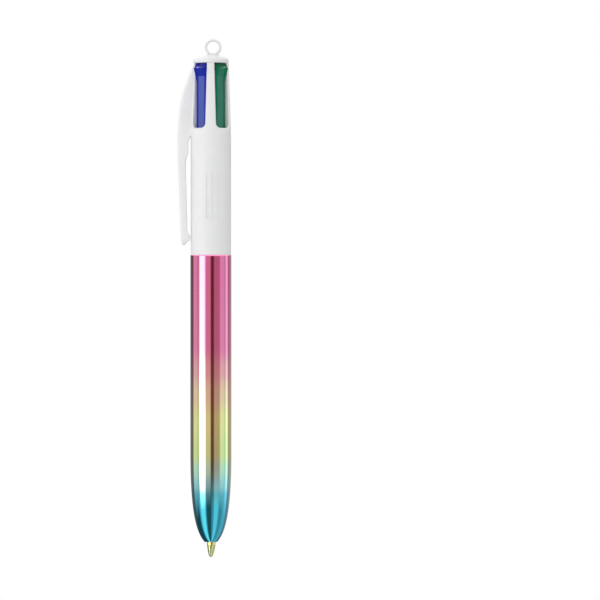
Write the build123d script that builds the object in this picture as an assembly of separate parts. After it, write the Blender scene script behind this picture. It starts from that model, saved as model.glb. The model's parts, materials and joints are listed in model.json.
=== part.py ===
"""A four-colour click pen: a white slotted upper barrel with a pocket clip and a
lanyard ring, a metallised lower barrel, and four spring-loaded refills.

Millimetres. The pen's axis is Z and the tip of the pressed refill is at the origin,
so +Z runs from the writing tip to the lanyard ring. The clip is on the -X side.
The black refill is pressed; the other three are released.
"""
import os
from math import atan, cos, degrees, hypot, radians, sin, tan

from build123d import *

# ---------------------------------------------------------------- driving sizes
BARREL_RADIUS = 5.75           # white upper barrel
GRIP_RADIUS = 5.85             # metallised lower barrel
STROKE = 10.0                  # travel of a slider from released to pressed
FIT_GAP = 0.05                 # radial clearance of a running fit
LOOSE_GAP = 0.15               # clearance round a part that only has to pass
COLOURS = {"blue": 225, "green": 315, "black": 45, "red": 135}  # degrees round the axis
PRESSED = "black"

# Heights along the axis
NOSE_END = 4.4                 # the brass point stands this far out of the nose
NOSE_TOP = NOSE_END + 25.0     # the lower barrel is straight above this
SEAM = 86.2                    # joint between the two barrels
SLOT_BOTTOM = 122.4
HEAD_TOP = 141.0               # top of the four posts, under the cap
BREAK = 0.1                    # chamfer on the edges that meet at the seam

# Lower barrel
NOSE_RADIUS = 1.85
NOSE_LAND = 1.0                # straight length of the nose hole
NOSE_FULLNESS = 0.62           # how quickly the nose swells above its end
GRIP_BORE = GRIP_RADIUS - 0.9

# Upper barrel
HEAD_RADIUS = 5.05
TAPER_FOOT = SLOT_BOTTOM - 4.4
BORE_RADIUS = BARREL_RADIUS - 1.0
SPIGOT_FOOT = SEAM - 9.0
SPIGOT_RADIUS = GRIP_BORE - FIT_GAP
SPIGOT_BORE = SPIGOT_RADIUS - 0.55
THREAD_PITCH = 1.5
THREAD_TURNS = 5
THREAD_DEPTH = 0.25
RIB_COUNT = 3                  # short raised ribs on the front of the barrel
RIB_LENGTH = 13.0
RIB_WIDTH = 0.8
RIB_SPACING = 1.6
RIB_RISE = 0.25
RIB_CENTRE = 103.0

# Refills stand on a circle round the axis, a quarter turn apart
REFILL_CIRCLE = 2.7
TUBE_RADIUS = 1.25
INK_RADIUS = 0.8
POINT_RADIUS = 1.2
BALL_RADIUS = 0.5
POINT_LENGTH = 12.0            # from the ball's lowest point to the shoulder
TAIL_LENGTH = 4.0              # brass tail pressed into the tube
BEND_HEIGHT = 60.0             # a pressed refill bends here, this far above its tip
BEND_HALF_LENGTH = 20.0        # the bend is spread over this much each side
FOLD = atan(REFILL_CIRCLE / (BEND_HEIGHT - BALL_RADIUS))

# Sliders
SLIDER_WIDTH = 4.7
SLOT_WIDTH = SLIDER_WIDTH + 2 * LOOSE_GAP
SLOT_CORNER = 1.3
SLOT_BEVEL = 0.4               # chamfer round the outside of each slot
SLIDER_INNER = 2.4
SLIDER_FACE = 3.8
SLIDER_CHAMFER = 0.55          # along both sides of the face
SLIDER_TOP = HEAD_TOP - 0.1
BUTTON_REACH = 4.55            # the button's outermost edge
BUTTON_SLOPE = 1.4             # drop of the sloping top, from inner to outer edge
BUTTON_LENGTH = 3.7
SHAFT_FOOT = 114.0
STEM_RADIUS = 1.6
STEM_TOP = SHAFT_FOOT + 3.5
STEM_FOOT = 105.0
SOCKET_DEPTH = 6.0             # the refill tube is pushed this far into the stem
INK_LEVEL = STEM_FOOT - 8.0

# Guide block and springs
BLOCK_TOP = SEAM - 2.0
BLOCK_FOOT = BLOCK_TOP - 5.0
WIRE_RADIUS = 0.15
COIL_RADIUS = 1.48
SPRING_TURNS = 11

# Cap and lanyard ring
CAP_RIM = 0.8
DOME_RISE = 2.5
SPINE_HALF = SLIDER_INNER - 0.2
SPINE_FOOT = STEM_TOP + 1.5
RING_RADIUS = 2.4
RING_HOLE = 1.7
RING_WIDTH = 3.4
RING_OFFSET = 0.6              # the ring stands a little away from the clip
RING_CENTRE = HEAD_TOP + 4.5
NECK_WIDTH = 2.6               # of the block that carries the ring, across the hole
NECK_DEPTH = RING_WIDTH - 0.3

# Clip
CLIP_REACH = 9.5               # outer face from the axis, where the arm begins
CLIP_INNER = 7.15              # inner face of the arm from the axis
CLIP_HEEL = 6.45               # and of the arm's thick root
CLIP_SPLIT = 119.8             # the arm is free below this height
CLIP_END = 89.0
TOE_TIP = CLIP_END + 2.0
TOE_TOP = CLIP_END + 3.9
TOE_REACH = BARREL_RADIUS + LOOSE_GAP
CLIP_HALF_TOP = 1.2            # half widths: between the slots, at the arm, at its end
CLIP_HALF_ARM = 1.75
CLIP_HALF_END = 1.9


# ---------------------------------------------------------------- helpers
def side_face(*edges):
    """The face inside a closed chain of edges, drawn as (X, Z) on the XZ plane."""
    return Plane.XZ * make_face(edges)


def turned(*edges):
    """Turns a closed chain of (radius, height) edges about the pen's axis."""
    return revolve(side_face(*edges), Axis.Z)


def rod(radius, bottom, top, x=0.0):
    """An upright cylinder between two heights, at a distance along X."""
    return Pos(x, 0, bottom) * extrude(Circle(radius), top - bottom)


def square_bar(width, bottom, top):
    """An upright square bar on the axis, with a face towards each slider."""
    return Pos(0, 0, bottom) * Rot(0, 0, 45) * extrude(Rectangle(width, width), top - bottom)


# ---------------------------------------------------------------- barrels
def nose_curve(end_radius, end_height, body_radius):
    """The bullet-shaped nose, from its blunt end up to where the barrel is straight."""
    rise = NOSE_TOP - end_height
    shoulder = end_radius + NOSE_FULLNESS * (body_radius - end_radius)
    return Bezier(
        (end_radius, end_height),
        (shoulder, end_height + 0.116 * rise),
        (body_radius, end_height + 0.36 * rise),
        (body_radius, NOSE_TOP),
    )


def make_lower_barrel():
    hole = POINT_RADIUS + 2 * LOOSE_GAP
    outer = nose_curve(NOSE_RADIUS, NOSE_END, GRIP_RADIUS)
    inner = nose_curve(hole, NOSE_END + NOSE_LAND, GRIP_BORE)
    walls = Polyline(
        (GRIP_RADIUS, NOSE_TOP),
        (GRIP_RADIUS, SEAM - BREAK),
        (GRIP_RADIUS - BREAK, SEAM),
        (GRIP_BORE, SEAM),
        (GRIP_BORE, NOSE_TOP),
    )
    mouth = Polyline((hole, NOSE_END + NOSE_LAND), (hole, NOSE_END), (NOSE_RADIUS, NOSE_END))
    return turned(outer, walls, inner, mouth)


def make_barrel_blank():
    """The upper barrel before its slots are cut: a tube below and solid in the head."""
    step = BORE_RADIUS - SPIGOT_BORE
    taper = Bezier(
        (BARREL_RADIUS, TAPER_FOOT),
        (BARREL_RADIUS, TAPER_FOOT + 4.5),
        (HEAD_RADIUS + 0.5, HEAD_TOP - 15.0),
        (HEAD_RADIUS, HEAD_TOP),
    )
    rest = Polyline(
        (HEAD_RADIUS, HEAD_TOP),
        (0, HEAD_TOP),
        (0, SLOT_BOTTOM),
        (BORE_RADIUS, SLOT_BOTTOM),
        (BORE_RADIUS, SEAM + 2.0),
        (SPIGOT_BORE, SEAM + 2.0 - step),
        (SPIGOT_BORE, SPIGOT_FOOT),
        (SPIGOT_RADIUS, SPIGOT_FOOT),
        (SPIGOT_RADIUS, SEAM),
        (BARREL_RADIUS - BREAK, SEAM),
        (BARREL_RADIUS, SEAM + BREAK),
        (BARREL_RADIUS, TAPER_FOOT),
    )
    return turned(taper, rest)


def make_head_hollow():
    """What is cut from the head: a passage for each slider, its round-cornered window
    through the wall, and the square core between them."""
    height = HEAD_TOP - SLOT_BOTTOM
    hollow = square_bar(SLOT_WIDTH, SLOT_BOTTOM, HEAD_TOP)
    passage = Pos(0, 0, SLOT_BOTTOM) * extrude(
        Rectangle(2 * BORE_RADIUS, SLOT_WIDTH, align=(Align.MIN, Align.CENTER)), height
    )
    passage &= rod(BORE_RADIUS, SLOT_BOTTOM, HEAD_TOP)
    window_plane = Plane(origin=(0, 0, SLOT_BOTTOM), x_dir=(0, 1, 0), z_dir=(1, 0, 0))
    window = extrude(
        window_plane * Pos(0, height) * RectangleRounded(SLOT_WIDTH, 2 * height, SLOT_CORNER),
        2 * BARREL_RADIUS,
    )
    window -= rod(BORE_RADIUS, SLOT_BOTTOM, HEAD_TOP + height)
    for angle in COLOURS.values():
        hollow += Rot(0, 0, angle) * (passage + window)
    return hollow


def make_ribs():
    """Short raised ribs along the front of the barrel."""
    reach = BARREL_RADIUS + RIB_RISE
    ribs = []
    for index in range(RIB_COUNT):
        x = (index - (RIB_COUNT - 1) / 2) * RIB_SPACING
        pad = Plane.XZ * Pos(x, RIB_CENTRE) * SlotOverall(RIB_LENGTH, RIB_WIDTH, 90)
        bar = extrude(pad, reach) - rod(BORE_RADIUS + 0.5, SEAM, SLOT_BOTTOM)
        ribs.append(bar & rod(reach, SEAM, SLOT_BOTTOM))
    return ribs


def slot_edges(body):
    """The edges of the slots on the outside of the barrel."""

    def is_slot_edge(edge):
        middle = edge @ 0.5
        outside = hypot(middle.X, middle.Y) > BORE_RADIUS + 0.1
        return outside and SLOT_BOTTOM - 0.1 < middle.Z < HEAD_TOP - 0.5

    return body.edges().filter_by(is_slot_edge)


def make_upper_barrel(blank):
    body = chamfer(slot_edges(blank - make_head_hollow()), SLOT_BEVEL)
    for turn in range(THREAD_TURNS):
        height = SPIGOT_FOOT + (turn + 1) * THREAD_PITCH
        notch = Rot(0, 0, 45) * Rectangle(THREAD_DEPTH, THREAD_DEPTH)
        body -= revolve(Plane.XZ * Pos(SPIGOT_RADIUS, height) * notch, Axis.Z)
    for rib in make_ribs():
        body += rib
    return body


def make_guide_block():
    """The block in the spigot that seats the springs and steadies the four refills."""
    block = rod(SPIGOT_BORE, BLOCK_FOOT, BLOCK_TOP)
    for angle in COLOURS.values():
        hole = rod(TUBE_RADIUS + LOOSE_GAP, BLOCK_FOOT, BLOCK_TOP, REFILL_CIRCLE)
        block -= Rot(0, 0, angle) * hole
    return block


# ---------------------------------------------------------------- clip and cap
def clip_from_side():
    """The clip's outline from the side: a solid web that runs down from the cap, then
    an arm that ends in an inward toe."""
    root = -HEAD_RADIUS + 0.4
    back = Spline(
        (root, HEAD_TOP),
        (-6.9, 136.0),
        (-8.65, 130.0),
        (-CLIP_REACH, CLIP_SPLIT),
        (-9.05, 103.0),
        (-8.5, CLIP_END + 0.9),
    )
    heel = Bezier(back @ 1, (-8.45, CLIP_END), (-8.0, CLIP_END - 0.1), (-7.6, CLIP_END + 0.2))
    toe = Polyline(heel @ 1, (-TOE_REACH, TOE_TIP), (-6.75, TOE_TOP))
    inner = Bezier(toe @ 1, (-6.85, 99.0), (-CLIP_INNER, 106.0), (-CLIP_INNER, CLIP_SPLIT - 7.0))
    web = Polyline(
        inner @ 1,
        (-CLIP_HEEL, CLIP_SPLIT - 4.4),
        (-CLIP_HEEL, CLIP_SPLIT - 1.2),
        (-BARREL_RADIUS - 0.2, CLIP_SPLIT),
        (-BARREL_RADIUS + 0.6, CLIP_SPLIT + 1.0),
        (root, HEAD_TOP),
    )
    return side_face(back, heel, toe, inner, web)


def clip_from_front():
    """Half of the clip's outline from the front, drawn as (Y, Z): narrow between the
    slots and wider along the arm, with a rounded end."""
    flare = Bezier(
        (CLIP_HALF_TOP, 125.0),
        (CLIP_HALF_TOP, 121.0),
        (CLIP_HALF_ARM, 119.0),
        (CLIP_HALF_ARM, 112.0),
    )
    arm = Line(flare @ 1, (CLIP_HALF_END, CLIP_END + 1.5))
    end = Bezier(arm @ 1, (CLIP_HALF_END, CLIP_END), (CLIP_HALF_END, CLIP_END - 0.2), (0, CLIP_END - 0.2))
    rest = Polyline(end @ 1, (0, HEAD_TOP), (CLIP_HALF_TOP, HEAD_TOP), (CLIP_HALF_TOP, 125.0))
    return make_face([flare, arm, end, rest])


def make_clip(blank):
    """Returns the web, moulded onto the barrel, and the arm that flexes below it."""
    side = extrude(clip_from_side(), CLIP_HALF_END, both=True)
    front_half = clip_from_front()
    front = Plane.YZ * (front_half + mirror(front_half, Plane.YZ))
    whole = side & extrude(front, 2 * CLIP_REACH, both=True)
    above = Pos(0, 0, CLIP_SPLIT) * extrude(Rectangle(4 * CLIP_REACH, 4 * CLIP_REACH), HEAD_TOP)
    root = (whole & above) - blank
    arm = whole - above
    return root, arm


def make_top_cap():
    """The domed cap with its ring, and the spine that guides the sliders."""
    dome = Bezier(
        (HEAD_RADIUS, HEAD_TOP + CAP_RIM),
        (HEAD_RADIUS - 0.2, HEAD_TOP + 1.6),
        (2.4, HEAD_TOP + DOME_RISE - 0.1),
        (0, HEAD_TOP + DOME_RISE),
    )
    flank = Polyline(dome @ 1, (0, HEAD_TOP), (HEAD_RADIUS, HEAD_TOP), dome @ 0)
    cap = turned(dome, flank)
    cap += square_bar(2 * SPINE_HALF, SPINE_FOOT, HEAD_TOP)
    ring = Plane.XZ * extrude(Circle(RING_RADIUS), RING_WIDTH / 2, both=True)
    cap += Pos(RING_OFFSET, 0, RING_CENTRE) * fillet(ring.edges(), 0.5)
    neck_height = RING_CENTRE - RING_HOLE - HEAD_TOP
    neck = Box(NECK_WIDTH, NECK_DEPTH, neck_height)
    cap += Pos(RING_OFFSET, 0, HEAD_TOP + neck_height / 2) * neck
    hole = Plane.XZ * extrude(Circle(RING_HOLE), RING_WIDTH, both=True)
    return cap - Pos(RING_OFFSET, 0, RING_CENTRE) * hole


# ---------------------------------------------------------------- one colour, at zero degrees
def make_slider():
    """A released slider: the button, its flat shaft and the stem that grips the refill."""
    side = side_face(
        Polyline(
            (SLIDER_INNER, SLIDER_TOP),
            (SLIDER_FACE - 0.5, SLIDER_TOP),
            (BUTTON_REACH, SLIDER_TOP - BUTTON_SLOPE),
            (SLIDER_FACE, SLIDER_TOP - BUTTON_LENGTH),
            (SLIDER_FACE, SHAFT_FOOT),
            (SLIDER_INNER, SHAFT_FOOT),
            (SLIDER_INNER, SLIDER_TOP),
        )
    )
    shaft = extrude(side, SLIDER_WIDTH / 2, both=True)
    face_edges = shaft.edges().filter_by(Axis.Z).group_by(Axis.X)[-1]
    shaft = chamfer(face_edges, SLIDER_CHAMFER)
    stem = rod(STEM_RADIUS, STEM_FOOT, STEM_TOP, REFILL_CIRCLE)
    socket = rod(TUBE_RADIUS, STEM_FOOT, STEM_FOOT + SOCKET_DEPTH, REFILL_CIRCLE)
    return shaft + stem - socket


def make_spring(shoulder):
    """A return spring between the guide block and the height of a stem's foot."""
    foot = BLOCK_TOP + WIRE_RADIUS
    height = shoulder - WIRE_RADIUS - foot
    path = Helix(height / SPRING_TURNS, height, COIL_RADIUS)
    section = Plane(origin=path @ 0, z_dir=path % 0) * Circle(WIRE_RADIUS)
    return Pos(REFILL_CIRCLE, 0, foot) * sweep(section, path, is_frenet=True)


def make_point():
    """The brass point of a released refill, with its tail in the tube."""
    lip = STROKE + 0.3
    centre = STROKE + BALL_RADIUS
    shoulder = STROKE + POINT_LENGTH
    tail = shoulder + TAIL_LENGTH
    body = turned(
        Polyline(
            (0, lip),
            (0.56, lip),
            (0.95, lip + 1.6),
            (POINT_RADIUS, lip + 3.1),
            (POINT_RADIUS, shoulder),
            (INK_RADIUS, shoulder),
            (INK_RADIUS, tail),
            (0, tail),
            (0, lip),
        )
    )
    channel = rod(0.3, centre, tail)
    socket = Pos(0, 0, centre) * Sphere(BALL_RADIUS + 0.02)
    return Pos(REFILL_CIRCLE, 0, 0) * (body - channel - socket)


def make_ball():
    return Pos(REFILL_CIRCLE, 0, STROKE + BALL_RADIUS) * Sphere(BALL_RADIUS)


def press(shape):
    """Brings a released point down, leaning about the bend so that it reaches the axis."""
    bend = (REFILL_CIRCLE, 0, BEND_HEIGHT)
    return Pos(*bend) * Rot(0, degrees(FOLD), 0) * Pos(-REFILL_CIRCLE, 0, -BEND_HEIGHT - STROKE) * shape


def refill_path(foot, top, pressed):
    """The centre line of a refill between two heights of its released state."""
    if not pressed:
        return Line((REFILL_CIRCLE, 0, foot), (REFILL_CIRCLE, 0, top))
    below = BEND_HEIGHT + STROKE - foot
    low = (REFILL_CIRCLE - below * sin(FOLD), 0, BEND_HEIGHT - below * cos(FOLD))
    bend = (REFILL_CIRCLE, 0, BEND_HEIGHT)
    high = (REFILL_CIRCLE, 0, top - STROKE)
    return FilletPolyline(low, bend, high, radius=BEND_HALF_LENGTH / tan(FOLD / 2))


def sweep_round(radius, path):
    """A round bar along a path."""
    return sweep(Plane(origin=path @ 0, z_dir=path % 0) * Circle(radius), path)


def make_tube(pressed):
    path = refill_path(STROKE + POINT_LENGTH, STEM_FOOT + SOCKET_DEPTH, pressed)
    return sweep_round(TUBE_RADIUS, path) - sweep_round(INK_RADIUS, path)


def make_ink(pressed):
    return sweep_round(INK_RADIUS, refill_path(STROKE + POINT_LENGTH + TAIL_LENGTH, INK_LEVEL, pressed))


def make_refill_set(colour, angle):
    """Every piece of one colour, in its slot, pressed or released."""
    pressed = colour == PRESSED
    drop = STROKE if pressed else 0.0
    point = make_point()
    ball = make_ball()
    pieces = {
        "slider": Pos(0, 0, -drop) * make_slider(),
        "spring": make_spring(STEM_FOOT - drop),
        "refill_tube": make_tube(pressed),
        "ink": make_ink(pressed),
        "refill_point": press(point) if pressed else point,
        "ball": press(ball) if pressed else ball,
    }
    return {f"{name}_{colour}": Rot(0, 0, angle) * shape for name, shape in pieces.items()}


# ---------------------------------------------------------------- the whole pen
def make_pen():
    blank = make_barrel_blank()
    clip_root, clip_arm = make_clip(blank)
    parts = {
        "lower_barrel": make_lower_barrel(),
        "upper_barrel": make_upper_barrel(blank),
        "guide_block": make_guide_block(),
        "top_cap": make_top_cap(),
        "clip_root": clip_root,
        "clip_arm": clip_arm,
    }
    for colour, angle in COLOURS.items():
        parts.update(make_refill_set(colour, angle))
    return parts


os.makedirs("parts", exist_ok=True)
for name, shape in make_pen().items():
    export_step(shape, f"parts/{name}.step")
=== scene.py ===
"""The looks of the four-colour click pen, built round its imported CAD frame.

Metres, in the frame's own axes: the pen's axis is Z, the pressed tip is at the
origin, the clip is on the -X side and the camera stands on the -Y side.
"""
import json
from math import copysign, cos, pi, radians, sin, sqrt, tan

import bmesh
import bpy
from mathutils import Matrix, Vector
from mathutils.geometry import interpolate_bezier


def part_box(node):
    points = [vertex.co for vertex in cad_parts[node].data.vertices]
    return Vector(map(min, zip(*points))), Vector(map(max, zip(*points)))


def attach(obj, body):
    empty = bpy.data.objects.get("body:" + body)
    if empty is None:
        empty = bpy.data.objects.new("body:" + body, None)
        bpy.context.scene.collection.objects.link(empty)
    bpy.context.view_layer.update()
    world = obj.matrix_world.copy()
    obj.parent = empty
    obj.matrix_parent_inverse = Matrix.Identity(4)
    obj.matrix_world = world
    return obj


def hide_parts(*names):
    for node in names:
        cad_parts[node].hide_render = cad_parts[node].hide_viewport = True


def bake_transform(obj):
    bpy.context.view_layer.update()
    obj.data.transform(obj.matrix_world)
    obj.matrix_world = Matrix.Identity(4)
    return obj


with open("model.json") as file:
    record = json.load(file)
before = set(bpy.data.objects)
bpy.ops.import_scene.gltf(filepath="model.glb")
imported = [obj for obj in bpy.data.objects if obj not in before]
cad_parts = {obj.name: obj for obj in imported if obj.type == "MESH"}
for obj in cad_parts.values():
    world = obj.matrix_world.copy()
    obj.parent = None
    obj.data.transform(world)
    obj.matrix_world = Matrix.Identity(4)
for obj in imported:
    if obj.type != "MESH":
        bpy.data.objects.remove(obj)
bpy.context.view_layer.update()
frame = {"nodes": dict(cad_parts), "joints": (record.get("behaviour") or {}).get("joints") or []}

MM = 0.001
CREASE = radians(28)  # edges of CAD nodes that turn by more than this stay sharp
COLOURS = ("blue", "green", "black", "red")
JOINTS = {joint["name"]: joint for joint in frame["joints"]}

# ---------------------------------------------------------------- sizes read from the frame
barrel_low, barrel_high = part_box("lower_barrel")
upper_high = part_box("upper_barrel")[1]
clip_low, clip_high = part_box("clip_arm")
cap_low, cap_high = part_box("top_cap")

GRIP_RADIUS = barrel_high.x
NOSE_END = barrel_low.z
SEAM = barrel_high.z
HEAD_TOP = upper_high.z
CLIP_SPLIT = clip_high.z
CLIP_FOOT = clip_low.z
CLIP_REACH = -clip_low.x


# ---------------------------------------------------------------- node helpers
def new_material(name):
    """A material with a Principled shader, and its node tree."""
    material = bpy.data.materials.new(name)
    material.use_nodes = True
    tree = material.node_tree
    return material, tree, tree.nodes["Principled BSDF"]


def add(tree, kind, inputs=None, **settings):
    """Adds a node, sets its properties, and links or sets its inputs."""
    node = tree.nodes.new(kind)
    for key, value in settings.items():
        setattr(node, key, value)
    for key, value in (inputs or {}).items():
        if isinstance(value, bpy.types.NodeSocket):
            tree.links.new(value, node.inputs[key])
        else:
            node.inputs[key].default_value = value
    return node


def fill_ramp(ramp, stops):
    """Sets a colour ramp's stops from (position, colour) pairs in rising order."""
    elements = ramp.color_ramp.elements
    while len(elements) > 1:
        elements.remove(elements[-1])
    for index, (position, colour) in enumerate(stops):
        element = elements[0] if index == 0 else elements.new(position)
        element.position = position
        element.color = (*colour, 1.0)


def maths(tree, operation, *values):
    """The result of a Math node."""
    node = add(tree, "ShaderNodeMath", dict(enumerate(values)), operation=operation)
    return node.outputs["Value"]


def along(tree, vector, direction):
    """How far a vector reaches in a direction."""
    node = add(tree, "ShaderNodeVectorMath", {0: vector, 1: direction}, operation="DOT_PRODUCT")
    return node.outputs["Value"]


def noise(tree, scale, detail=3.0, roughness=0.5):
    """Noise in the part's own coordinates, with scale in features per metre."""
    place = add(tree, "ShaderNodeTexCoord").outputs["Object"]
    inputs = {"Vector": place, "Scale": scale, "Detail": detail, "Roughness": roughness}
    return add(tree, "ShaderNodeTexNoise", inputs).outputs["Fac"]


def spread(tree, value, low, high):
    """Maps noise, which stays near the middle of its range, to low..high."""
    inputs = {"Value": value, "From Min": 0.3, "From Max": 0.7, "To Min": low, "To Max": high}
    return add(tree, "ShaderNodeMapRange", inputs).outputs["Result"]


def bump(tree, shader, height, distance, strength, rounding=0.0):
    """Fine relief, over edges that are rounded off by a small radius."""
    inputs = {"Height": height, "Distance": distance, "Strength": strength}
    if rounding:
        edge = add(tree, "ShaderNodeBevel", {"Radius": rounding}, samples=6)
        inputs["Normal"] = edge.outputs["Normal"]
    tree.links.new(add(tree, "ShaderNodeBump", inputs).outputs["Normal"], shader.inputs["Normal"])


# ---------------------------------------------------------------- materials
def plastic(name, colour, shade, roughness, specular=0.5, rounding=0.12 * MM):
    """Moulded plastic: a slightly uneven tone, a faint flow texture and soft edges."""
    material, tree, shader = new_material(name)
    tone = add(tree, "ShaderNodeValToRGB", {"Fac": noise(tree, 260.0)})
    fill_ramp(tone, [(0.35, shade), (0.65, colour)])
    tree.links.new(tone.outputs["Color"], shader.inputs["Base Color"])
    uneven = spread(tree, noise(tree, 900.0), roughness - 0.04, roughness + 0.04)
    tree.links.new(uneven, shader.inputs["Roughness"])
    shader.inputs["Specular IOR Level"].default_value = specular
    bump(tree, shader, noise(tree, 2200.0, 2.0), 0.02 * MM, 0.12, rounding)
    return material


def metal(name, colour, shade, roughness, grain):
    """Turned or drawn metal, with fine marks that run round it."""
    material, tree, shader = new_material(name)
    place = add(tree, "ShaderNodeTexCoord").outputs["Object"]
    stretched = add(tree, "ShaderNodeMapping", {"Vector": place, "Scale": (1.0, 1.0, grain)})
    inputs = {"Vector": stretched.outputs["Vector"], "Scale": 1500.0, "Detail": 3.0}
    marks = add(tree, "ShaderNodeTexNoise", inputs).outputs["Fac"]
    tone = add(tree, "ShaderNodeValToRGB", {"Fac": marks})
    fill_ramp(tone, [(0.3, shade), (0.7, colour)])
    tree.links.new(tone.outputs["Color"], shader.inputs["Base Color"])
    tree.links.new(spread(tree, marks, roughness, roughness + 0.1), shader.inputs["Roughness"])
    shader.inputs["Metallic"].default_value = 1.0
    bump(tree, shader, marks, 0.01 * MM, 0.2)
    return material


# The metallised finish from the nose up, as (share of the barrel's length, colour)
FINISH = [
    (0.00, (0.006, 0.330, 0.440)),
    (0.11, (0.006, 0.320, 0.420)),
    (0.16, (0.060, 0.370, 0.420)),
    (0.20, (0.260, 0.480, 0.440)),
    (0.25, (0.400, 0.520, 0.330)),
    (0.31, (0.560, 0.540, 0.160)),
    (0.42, (0.680, 0.550, 0.170)),
    (0.52, (0.700, 0.390, 0.210)),
    (0.60, (0.700, 0.220, 0.215)),
    (0.68, (0.680, 0.100, 0.215)),
    (1.00, (0.680, 0.078, 0.205)),
]


def metallised():
    """Vacuum-coated plastic under clear lacquer, tinted from teal through gold to pink."""
    material, tree, shader = new_material("metallised_gradient")
    place = add(tree, "ShaderNodeTexCoord").outputs["Object"]
    height = add(tree, "ShaderNodeSeparateXYZ", {"Vector": place}).outputs["Z"]
    inputs = {"Value": height, "From Min": NOSE_END, "From Max": SEAM}
    share = add(tree, "ShaderNodeMapRange", inputs).outputs["Result"]
    tint = add(tree, "ShaderNodeValToRGB", {"Fac": share})
    tint.color_ramp.interpolation = "EASE"
    fill_ramp(tint, FINISH)
    tree.links.new(tint.outputs["Color"], shader.inputs["Base Color"])
    tree.links.new(spread(tree, noise(tree, 700.0), 0.06, 0.10), shader.inputs["Roughness"])
    shader.inputs["Metallic"].default_value = 1.0
    shader.inputs["Coat Weight"].default_value = 1.0
    shader.inputs["Coat Roughness"].default_value = 0.12
    shader.inputs["Coat IOR"].default_value = 1.75
    bump(tree, shader, noise(tree, 350.0, 1.0), 0.02 * MM, 0.05)
    return material


def clear_plastic():
    """The refills' translucent tube."""
    material, tree, shader = new_material("clear_tube")
    tone = add(tree, "ShaderNodeValToRGB", {"Fac": noise(tree, 300.0)})
    fill_ramp(tone, [(0.3, (0.86, 0.87, 0.86)), (0.7, (0.95, 0.95, 0.94))])
    tree.links.new(tone.outputs["Color"], shader.inputs["Base Color"])
    tree.links.new(spread(tree, noise(tree, 1200.0), 0.10, 0.16), shader.inputs["Roughness"])
    shader.inputs["Transmission Weight"].default_value = 0.9
    shader.inputs["IOR"].default_value = 1.2
    return material


WHITE = plastic("white_plastic", (0.88, 0.88, 0.88), (0.86, 0.86, 0.86), 0.5, 0.3)
NATURAL = plastic("natural_plastic", (0.80, 0.80, 0.77), (0.74, 0.74, 0.71), 0.45)
CLEAR = clear_plastic()
BRASS = metal("brass", (0.84, 0.66, 0.28), (0.58, 0.44, 0.15), 0.16, 12.0)
STEEL = metal("spring_steel", (0.66, 0.66, 0.68), (0.50, 0.50, 0.52), 0.25, 3.0)
CARBIDE = metal("ball_steel", (0.60, 0.61, 0.63), (0.50, 0.51, 0.53), 0.12, 1.0)
METALLISED = metallised()
# The lighter and the darker tone of each colour's slider and ink
SLIDER_TONES = {
    "blue": ((0.014, 0.024, 0.400), (0.010, 0.018, 0.330)),
    "green": ((0.000, 0.165, 0.070), (0.000, 0.135, 0.056)),
    "black": ((0.012, 0.012, 0.014), (0.008, 0.008, 0.010)),
    "red": ((0.620, 0.010, 0.030), (0.520, 0.007, 0.022)),
}
SLIDER_GLOSS = {"blue": 1.0, "green": 0.55, "black": 0.8, "red": 0.8}


def fade_gloss(material, colour, gloss):
    """Leaves a slider's gloss on the middle of its face and fades it towards both sides, which
    gives the light strip between dark edges that the photo shows."""
    glossy_half = 0.9 * MM
    dull_from = 1.4 * MM
    dull = 0.1
    tree = material.node_tree
    outward = Vector(JOINTS[f"point_{colour}_lean"]["pos_m"])
    sideways = Vector((-outward.y, outward.x, 0.0)).normalized()
    place = add(tree, "ShaderNodeTexCoord").outputs["Object"]
    aside = maths(tree, "ABSOLUTE", along(tree, place, sideways))
    limits = {"From Min": glossy_half, "From Max": dull_from, "To Min": gloss, "To Max": dull}
    fade = add(tree, "ShaderNodeMapRange", {"Value": aside, **limits}).outputs["Result"]
    tree.links.new(fade, tree.nodes["Principled BSDF"].inputs["Specular IOR Level"])


SLIDER_PLASTIC = {}
INK = {}
for colour_name, (light, dark) in SLIDER_TONES.items():
    gloss = SLIDER_GLOSS[colour_name]
    SLIDER_PLASTIC[colour_name] = plastic(f"{colour_name}_plastic", light, dark, 0.12, gloss)
    fade_gloss(SLIDER_PLASTIC[colour_name], colour_name, gloss)
    INK[colour_name] = plastic(f"{colour_name}_ink", light, dark, 0.5, 0.3, rounding=0.0)


# ---------------------------------------------------------------- mesh helpers
def new_piece(name, vertices, faces, material, slot):
    """A smooth-shaded mesh object, with its finish."""
    mesh = bpy.data.meshes.new(name)
    mesh.from_pydata(vertices, [], faces)
    shape = bmesh.new()
    shape.from_mesh(mesh)
    bmesh.ops.recalc_face_normals(shape, faces=shape.faces)
    shape.to_mesh(mesh)
    shape.free()
    mesh.materials.append(material)
    mesh.shade_smooth()
    mesh.set_sharp_from_angle(angle=radians(35))
    piece = bpy.data.objects.new(name, mesh)
    bpy.context.scene.collection.objects.link(piece)
    return piece


def skin(rings, closed=False):
    """Faces between rings of equal length. Closed joins the last ring to the first;
    otherwise each end gets a cap."""
    count = len(rings[0])
    vertices = [point for ring in rings for point in ring]
    faces = []
    for row in range(len(rings) - (0 if closed else 1)):
        here = row * count
        there = (row + 1) % len(rings) * count
        for index in range(count):
            after = (index + 1) % count
            faces.append((here + index, here + after, there + after, there + index))
    if not closed:
        faces.append(tuple(reversed(range(count))))
        faces.append(tuple(range(len(vertices) - count, len(vertices))))
    return vertices, faces


def turned_rings(outline, segments):
    """A closed (radius, height) outline, none of it on the axis, turned about Z."""
    rings = []
    for index in range(segments):
        angle = 2 * pi * index / segments
        rings.append([(r * cos(angle), r * sin(angle), z) for r, z in outline])
    return rings


def squared(value):
    """Pushes a sine towards 1, which makes a circle into a rounded square."""
    return copysign(abs(value) ** 0.45, value)


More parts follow.
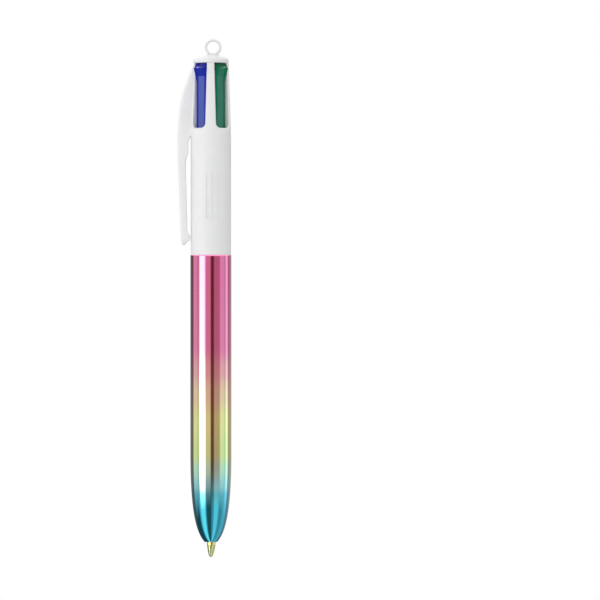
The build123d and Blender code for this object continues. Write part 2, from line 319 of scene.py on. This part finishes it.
def bezier(points, count):
    """A cubic curve through its four (radius, height) control points."""
    handles = [Vector((a, b, 0.0)) for a, b in points]
    return [(p.x, p.y) for p in interpolate_bezier(*handles, count)]


def tube_along(path, radius, sides):
    """Rings of a round bar that follows a list of points."""
    rings = []
    for index, point in enumerate(path):
        before = path[max(index - 1, 0)]
        after = path[min(index + 1, len(path) - 1)]
        forward = (after - before).normalized()
        across = forward.cross(Vector((0.0, 1.0, 0.0))).normalized()
        up = forward.cross(across)
        ring = []
        for side in range(sides):
            angle = 2 * pi * side / sides
            ring.append(point + across * radius * cos(angle) + up * radius * sin(angle))
        rings.append(ring)
    return rings


# ---------------------------------------------------------------- lower barrel
def make_lower_barrel():
    """The metallised barrel: a bullet nose, a straight body and a thin wall."""
    wall = 0.9 * MM
    nose_top = NOSE_END + 25.0 * MM
    nose_radius = 1.85 * MM
    hole = 1.5 * MM
    lip = 0.2 * MM
    fullness = 0.62

    def nose(start_radius, start_height, end_radius, count):
        """The bullet curve from the tip up to the straight body."""
        rise = nose_top - start_height
        shoulder = start_radius + fullness * (end_radius - start_radius)
        return bezier(
            [
                (start_radius, start_height),
                (shoulder, start_height + 0.116 * rise),
                (end_radius, start_height + 0.36 * rise),
                (end_radius, nose_top),
            ],
            count,
        )

    body_steps = 24
    outline = [(hole, NOSE_END + lip), (hole + lip, NOSE_END)]
    outline += nose(nose_radius, NOSE_END, GRIP_RADIUS, 48)
    for step in range(1, body_steps + 1):
        outline.append((GRIP_RADIUS, nose_top + (SEAM - 2 * lip - nose_top) * step / body_steps))
    outline += [
        (GRIP_RADIUS, SEAM - 0.8 * lip),
        (GRIP_RADIUS - 0.3 * lip, SEAM - 0.3 * lip),
        (GRIP_RADIUS - lip, SEAM),
        (GRIP_RADIUS - wall, SEAM),
    ]
    outline += reversed(nose(hole, NOSE_END + 1.0 * MM, GRIP_RADIUS - wall, 24))
    vertices, faces = skin(turned_rings(outline, 128), closed=True)
    piece = new_piece("metallised_barrel", vertices, faces, METALLISED, "metallised_barrel")
    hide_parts("lower_barrel")
    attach(piece, "grip")


# ---------------------------------------------------------------- clip
def through(points, at):
    """The value at a height on a smooth curve through (height, value) points."""
    points = sorted(points)
    last = len(points) - 1
    slopes = []
    for index in range(last + 1):
        low = points[max(index - 1, 0)]
        high = points[min(index + 1, last)]
        slopes.append((high[1] - low[1]) / (high[0] - low[0]))
    index = 0
    while index < last - 1 and at > points[index + 1][0]:
        index += 1
    (z0, v0), (z1, v1) = points[index], points[index + 1]
    span = z1 - z0
    t = min(max((at - z0) / span, 0.0), 1.0)
    return (
        (2 * t**3 - 3 * t**2 + 1) * v0
        + (t**3 - 2 * t**2 + t) * span * slopes[index]
        + (3 * t**2 - 2 * t**3) * v1
        + (t**3 - t**2) * span * slopes[index + 1]
    )


def rounded_slice(back, inner, half, back_round, inner_round, height):
    """A horizontal slice of the clip: a rectangle with rounded corners."""
    corners = [
        (back, -half, back_round, 180),
        (inner, -half, inner_round, 270),
        (inner, half, inner_round, 0),
        (back, half, back_round, 90),
    ]
    steps = 7
    ring = []
    for x, y, size, start in corners:
        room = 0.98 * min(size, half, abs(inner - back) / 2)
        centre_x = x + (room if x == back else -room)
        centre_y = y + (room if y < 0 else -room)
        for step in range(steps + 1):
            angle = radians(start + 90 * step / steps)
            ring.append((centre_x + room * cos(angle), centre_y + room * sin(angle), height))
    return ring


def make_clip():
    """The clip as one moulding: the web on the head, the free arm, and its toe."""
    foot = CLIP_FOOT
    toe_tip = foot + 2.1 * MM
    toe_top = foot + 4.0 * MM
    waist = CLIP_SPLIT - 16.8 * MM
    heel = CLIP_SPLIT - 4.4 * MM
    inner = [
        (foot, -7.5 * MM),
        (toe_tip, -5.95 * MM),
        (toe_top, -6.72 * MM),
        (toe_top + 2.5 * MM, -6.8 * MM),
        (waist, -6.98 * MM),
        (heel - 2.6 * MM, -7.15 * MM),
        (heel, -6.5 * MM),
        (CLIP_SPLIT - 1.2 * MM, -6.45 * MM),
        (CLIP_SPLIT, -5.95 * MM),
        (CLIP_SPLIT + 1.0 * MM, -5.2 * MM),
        (CLIP_SPLIT + 4.0 * MM, -4.6 * MM),
        (HEAD_TOP, -4.3 * MM),
    ]
    back = [
        (HEAD_TOP + 0.4 * MM, -4.7 * MM),
        (HEAD_TOP - 5.0 * MM, -6.9 * MM),
        (HEAD_TOP - 11.0 * MM, -8.65 * MM),
        (CLIP_SPLIT, -CLIP_REACH),
        (waist, -9.05 * MM),
        (foot, -8.48 * MM),
    ]
    half = [
        (HEAD_TOP, 1.2 * MM),
        (CLIP_SPLIT + 4.2 * MM, 1.22 * MM),
        (CLIP_SPLIT - 6.8 * MM, 1.75 * MM),
        (foot, 1.9 * MM),
    ]

    stations = 150
    rings = []
    for step in range(stations + 1):
        z = foot + (HEAD_TOP - foot) * (step / stations) ** 1.15
        taper = min((z - foot) / (1.6 * MM), 1.0)
        shrink = sqrt(1 - (1 - taper) ** 2)
        outer = through(back, z) + 0.5 * MM * (1 - shrink)
        width = through(half, z) * (0.45 + 0.55 * shrink)
        rings.append(rounded_slice(outer, through(inner, z), width, 0.8 * MM, 0.3 * MM, z))
    piece = new_piece("clip", *skin(rings), WHITE, "white_plastic")
    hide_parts("clip_root", "clip_arm")
    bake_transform(piece)


# ---------------------------------------------------------------- cap
def make_cap():
    """The domed cap, its lanyard ring on a short neck, and the spine in the head."""
    ring_hole = 1.7 * MM
    ring_radius = 2.4 * MM
    ring_half = 1.7 * MM
    ring_x = 0.6 * MM
    ring_z = cap_high.z - ring_radius
    radius = cap_high.x
    core = 0.5 * MM
    rim = 0.8 * MM
    soft = 0.25 * MM
    crown = HEAD_TOP + 2.5 * MM
    dome = [(core, HEAD_TOP), (radius - soft, HEAD_TOP), (radius, HEAD_TOP + soft)]
    dome += bezier(
        [(radius, HEAD_TOP + rim), (radius, HEAD_TOP + 2 * rim), (2.4 * MM, crown), (core, crown)], 20
    )
    cap = turned_rings(dome, 96)

    middle = (ring_hole + ring_radius) / 2
    depth = (ring_radius - ring_hole) / 2
    section_points = 24
    section = []
    for step in range(section_points):
        angle = 2 * pi * step / section_points
        section.append((middle + depth * squared(cos(angle)), ring_half * squared(sin(angle))))
    hoop = []
    for ring in turned_rings(section, 72):
        hoop.append([(ring_x + x, -y_along, ring_z + z) for x, z, y_along in ring])

    neck = []
    neck_foot = crown - 0.5 * MM
    neck_top = ring_z - ring_hole - 0.25 * MM
    for share in (0.0, 0.3, 0.6, 0.85, 1.0):
        half = (1.45 - 0.45 * share) * MM
        height = neck_foot + share * (neck_top - neck_foot)
        neck.append(rounded_slice(ring_x - half, ring_x + half, 1.6 * MM, 0.5 * MM, 0.5 * MM, height))

    side = 2.2 * sqrt(2) * MM
    corners = [(side, 0), (0, side), (-side, 0), (0, -side)]
    spine = [[(x, y, z) for x, y in corners] for z in (cap_low.z, HEAD_TOP)]

    vertices, faces = [], []
    for rings, closed in ((cap, True), (hoop, True), (neck, False), (spine, False)):
        more_vertices, more_faces = skin(rings, closed)
        shift = len(vertices)
        vertices += more_vertices
        faces += [tuple(index + shift for index in face) for face in more_faces]
    piece = new_piece("cap_and_ring", vertices, faces, WHITE, "white_plastic")
    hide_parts("top_cap")
    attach(piece, "barrel")


# ---------------------------------------------------------------- springs and refills
def make_spring(colour):
    """A drawn-wire spring with closed ends, held between the block and the slider."""
    low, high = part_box(f"spring_{colour}")
    wire = 0.15 * MM
    turns = 11
    steps_per_turn = 28
    steps = turns * steps_per_turn
    centre = (low + high) / 2
    coil = (high.x - low.x) / 2 - wire
    closed = 1.0 / turns
    closed_rise = 2.2 * wire
    path = []
    for step in range(steps + 1):
        share = step / steps
        angle = 2 * pi * turns * share
        end = min(share, 1 - share, closed) / closed
        lift = closed_rise * end
        middle = min(max((share - closed) / (1 - 2 * closed), 0.0), 1.0)
        bottom = low.z + wire
        top = high.z - wire
        free = (top - bottom) - 2 * closed_rise
        z = bottom + (lift if share < 0.5 else 2 * closed_rise - lift) + free * middle
        path.append(Vector((centre.x + coil * cos(angle), centre.y + coil * sin(angle), z)))
    piece = new_piece(f"coil_{colour}", *skin(tube_along(path, wire, 10)), STEEL, "spring_steel")
    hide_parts(f"spring_{colour}")
    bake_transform(piece)


def make_refill(colour):
    """The flexible tube and the ink in it, made in one fixed shape: straight, or bent inwards where the
    slider is pressed at rest.
    """
    lean = JOINTS[f"point_{colour}_lean"]
    pivot = Vector(lean["pos_m"])
    inward = Vector((-pivot.x, -pivot.y, 0.0)).normalized()
    fold = radians(max(abs(limit) for limit in lean["range_deg"]))
    pressed = lean["range_deg"][0] < 0
    bend = 20.0 * MM
    tube_radius = 1.25 * MM
    bore_radius = 0.82 * MM
    ink_radius = 0.8 * MM
    steps = 60
    sides = 24

    def centre_line(bottom, top):
        """The refill's axis: straight, or bent inwards where its slider is pressed at rest."""
        path = []
        for step in range(steps + 1):
            z = bottom + (top - bottom) * step / steps
            share = min(max((pivot.z + bend - z) / (2 * bend), 0.0), 1.0)
            curved = fold * bend * share**2
            straight = max(pivot.z - bend - z, 0.0) * tan(fold)
            offset = (curved + straight) if pressed else 0.0
            path.append(Vector((pivot.x, pivot.y, z)) + inward * offset)
        return path

    def rings_of(path, radius):
        """Level circles round the points of a path."""
        circle = []
        for side in range(sides):
            angle = 2 * pi * side / sides
            circle.append(Vector((radius * cos(angle), radius * sin(angle), 0.0)))
        return [[point + corner for corner in circle] for point in path]

    low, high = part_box(f"refill_tube_{colour}")
    axis = centre_line(low.z, high.z)
    outer = rings_of(axis, tube_radius)
    bore = rings_of(axis, bore_radius)
    tube = new_piece(f"tube_{colour}", *skin(outer + bore[::-1], closed=True), CLEAR, "clear_tube")
    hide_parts(f"refill_tube_{colour}")
    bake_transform(tube)
    low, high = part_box(f"ink_{colour}")
    column = rings_of(centre_line(low.z, high.z), ink_radius)
    ink = new_piece(f"ink_column_{colour}", *skin(column), INK[colour], f"{colour}_ink")
    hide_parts(f"ink_{colour}")
    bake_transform(ink)


# ---------------------------------------------------------------- CAD nodes that stay
def finish_node(name, material, bevel=0.0):
    """Gives a CAD node its material and smooth shading, with softened edges."""
    node = frame["nodes"][name]
    node.data.materials.clear()
    node.data.materials.append(material)
    node.data.shade_smooth()
    node.data.set_sharp_from_angle(angle=CREASE)
    if bevel:
        flat = node.modifiers.new("flat", "DECIMATE")
        flat.decimate_type = "DISSOLVE"
        flat.angle_limit = radians(1.0)
        soft = node.modifiers.new("soft", "BEVEL")
        soft.width = bevel
        soft.segments = 3
        soft.limit_method = "ANGLE"
        soft.angle_limit = CREASE
        soft.harden_normals = True
    else:
        weigh = node.modifiers.new("weigh", "WEIGHTED_NORMAL")
        weigh.keep_sharp = True


def finish_nodes():
    """The finish of every CAD node that scene.py keeps."""
    finish_node("upper_barrel", WHITE)
    finish_node("guide_block", NATURAL)
    for colour in COLOURS:
        finish_node(f"slider_{colour}", SLIDER_PLASTIC[colour], 0.12 * MM)
        finish_node(f"refill_point_{colour}", BRASS)
        finish_node(f"ball_{colour}", CARBIDE)


# ---------------------------------------------------------------- studio
# What a polished surface mirrors: softboxes and the gaps between them, as (from, to, colour)
# with the angles in degrees round to the right from the camera
PANELS = [
    (-180, -117, (0.20, 0.20, 0.20)),
    (-112, -82, (0.90, 1.13, 1.28)),
    (-78, -70, (0.65, 0.85, 0.85)),
    (-62, -38, (6.00, 6.00, 6.00)),
    (-29, -4, (0.87, 0.85, 0.90)),
    (3, 15, (0.17, 0.08, 0.07)),
    (21, 50, (0.62, 0.55, 0.65)),
    (56, 78, (1.00, 1.28, 1.42)),
    (82, 90, (0.72, 1.12, 1.20)),
    (95, 108, (1.40, 1.85, 2.20)),
    (113, 180, (0.50, 0.50, 0.52)),
]
# What the rounded nose mirrors instead, because it faces downwards
NOSE_PANELS = [
    (-180, -85, (0.05, 0.13, 0.14)),
    (-62, -42, (1.30, 2.00, 2.00)),
    (-26, 0, (0.10, 0.18, 0.19)),
    (8, 16, (0.40, 0.65, 0.68)),
    (24, 44, (1.00, 1.50, 1.55)),
    (58, 72, (0.40, 0.60, 0.62)),
    (88, 110, (0.55, 0.90, 1.00)),
    (130, 180, (0.30, 0.30, 0.32)),
]
# What faces that look up mirror, and the level that the ramps' 1.0 stands for
OVERHEAD = 3.2
BRIGHTEST = 6.0
# Soft light: its level all round, and its swing up towards the camera's left and down away from it
SOFT_LEVEL = 0.82
SOFT_SWING = 0.29
SOFT_FROM = (-0.80, -0.58, 0.15)


def panel_ramp(tree, turn, panels):
    """The colour that a list of panels gives at each turn, as a share of the brightest."""
    stops = []
    for start, end, colour in panels:
        shade = [level / BRIGHTEST for level in colour]
        stops += [((start + 180) / 360, shade), ((end + 180) / 360, shade)]
    ramp = add(tree, "ShaderNodeValToRGB", {"Fac": turn})
    fill_ramp(ramp, stops)
    return ramp.outputs["Color"]


def mixed(tree, factor, first, second):
    """A blend of two colours."""
    node = add(tree, "ShaderNodeMix", {0: factor, 6: first, 7: second}, data_type="RGBA")
    return node.outputs[2]


def make_world():
    """White behind the pen, tall softboxes in its polish, and soft light on the rest."""
    world = bpy.data.worlds.new("studio")
    bpy.context.scene.world = world
    world.use_nodes = True
    tree = world.node_tree
    tree.nodes.clear()
    direction = add(tree, "ShaderNodeTexCoord").outputs["Generated"]
    axes = add(tree, "ShaderNodeSeparateXYZ", {"Vector": direction}).outputs
    away = maths(tree, "MULTIPLY", axes["Y"], -1.0)
    azimuth = maths(tree, "ARCTAN2", axes["X"], away)
    turn = maths(tree, "MULTIPLY_ADD", azimuth, 1 / (2 * pi), 0.5)
    lift = {"Value": axes["Z"], "From Min": -sin(radians(16)), "From Max": -sin(radians(4))}
    above = add(tree, "ShaderNodeMapRange", lift).outputs["Result"]
    lift = {"Value": axes["Z"], "From Min": sin(radians(16)), "From Max": sin(radians(26))}
    overhead = add(tree, "ShaderNodeMapRange", lift).outputs["Result"]
    sides = mixed(tree, above, panel_ramp(tree, turn, NOSE_PANELS), panel_ramp(tree, turn, PANELS))
    mirrored = mixed(tree, overhead, sides, [OVERHEAD / BRIGHTEST] * 3 + [1.0])
    soft = maths(tree, "MULTIPLY_ADD", along(tree, direction, SOFT_FROM), SOFT_SWING, SOFT_LEVEL)

    white = (1.0, 1.0, 1.0, 1.0)
    glossy = add(tree, "ShaderNodeBackground", {"Color": mirrored, "Strength": BRIGHTEST}).outputs[0]
    diffuse = add(tree, "ShaderNodeBackground", {"Color": white, "Strength": soft}).outputs[0]
    plain = add(tree, "ShaderNodeBackground", {"Color": white}).outputs[0]
    path = add(tree, "ShaderNodeLightPath").outputs
    lit = add(tree, "ShaderNodeMixShader", {0: path["Is Glossy Ray"], 1: diffuse, 2: glossy}).outputs[0]
    seen = add(tree, "ShaderNodeMixShader", {0: path["Is Camera Ray"], 1: lit, 2: plain}).outputs[0]
    add(tree, "ShaderNodeOutputWorld", {"Surface": seen})


def make_floor():
    """A plain white floor, below the lowest point that the lower barrel reaches."""
    drop = -JOINTS["lower_barrel_pull"]["range_m"][0]
    clearance = 30.0 * MM
    level = NOSE_END - drop - clearance
    mesh = bpy.data.meshes.new("floor")
    size = 6.0
    corners = [(-size, -size, level), (size, -size, level), (size, size, level), (-size, size, level)]
    mesh.from_pydata(corners, [], [(0, 1, 2, 3)])
    floor = bpy.data.objects.new("floor", mesh)
    bpy.context.scene.collection.objects.link(floor)
    material = bpy.data.materials.new("floor_white")
    material.use_nodes = True
    tree = material.node_tree
    tree.nodes.clear()
    glow = add(tree, "ShaderNodeEmission", {"Strength": 1.0}).outputs[0]
    add(tree, "ShaderNodeOutputMaterial", {"Surface": glow})
    mesh.materials.append(material)
    floor.visible_glossy = False
    floor.visible_diffuse = False


def make_camera():
    """A long lens square to the pen, which stands left of the middle of the frame."""
    frame_width = 171.2 * MM
    distance = 1.6
    middle_of_frame = 25.42 * MM
    eye_level = 73.4 * MM
    camera = bpy.data.cameras.new("camera")
    camera.sensor_width = 36.0
    camera.lens = camera.sensor_width * distance / frame_width
    camera.clip_start = 0.05
    holder = bpy.data.objects.new("camera", camera)
    holder.location = (middle_of_frame, -distance, eye_level)
    holder.rotation_euler = (radians(90), 0.0, 0.0)
    bpy.context.scene.collection.objects.link(holder)
    bpy.context.scene.camera = holder


make_lower_barrel()
make_clip()
make_cap()
for colour_name in COLOURS:
    make_spring(colour_name)
    make_refill(colour_name)
finish_nodes()
make_world()
make_floor()
make_camera()
bpy.context.scene.view_settings.view_transform = "Standard"
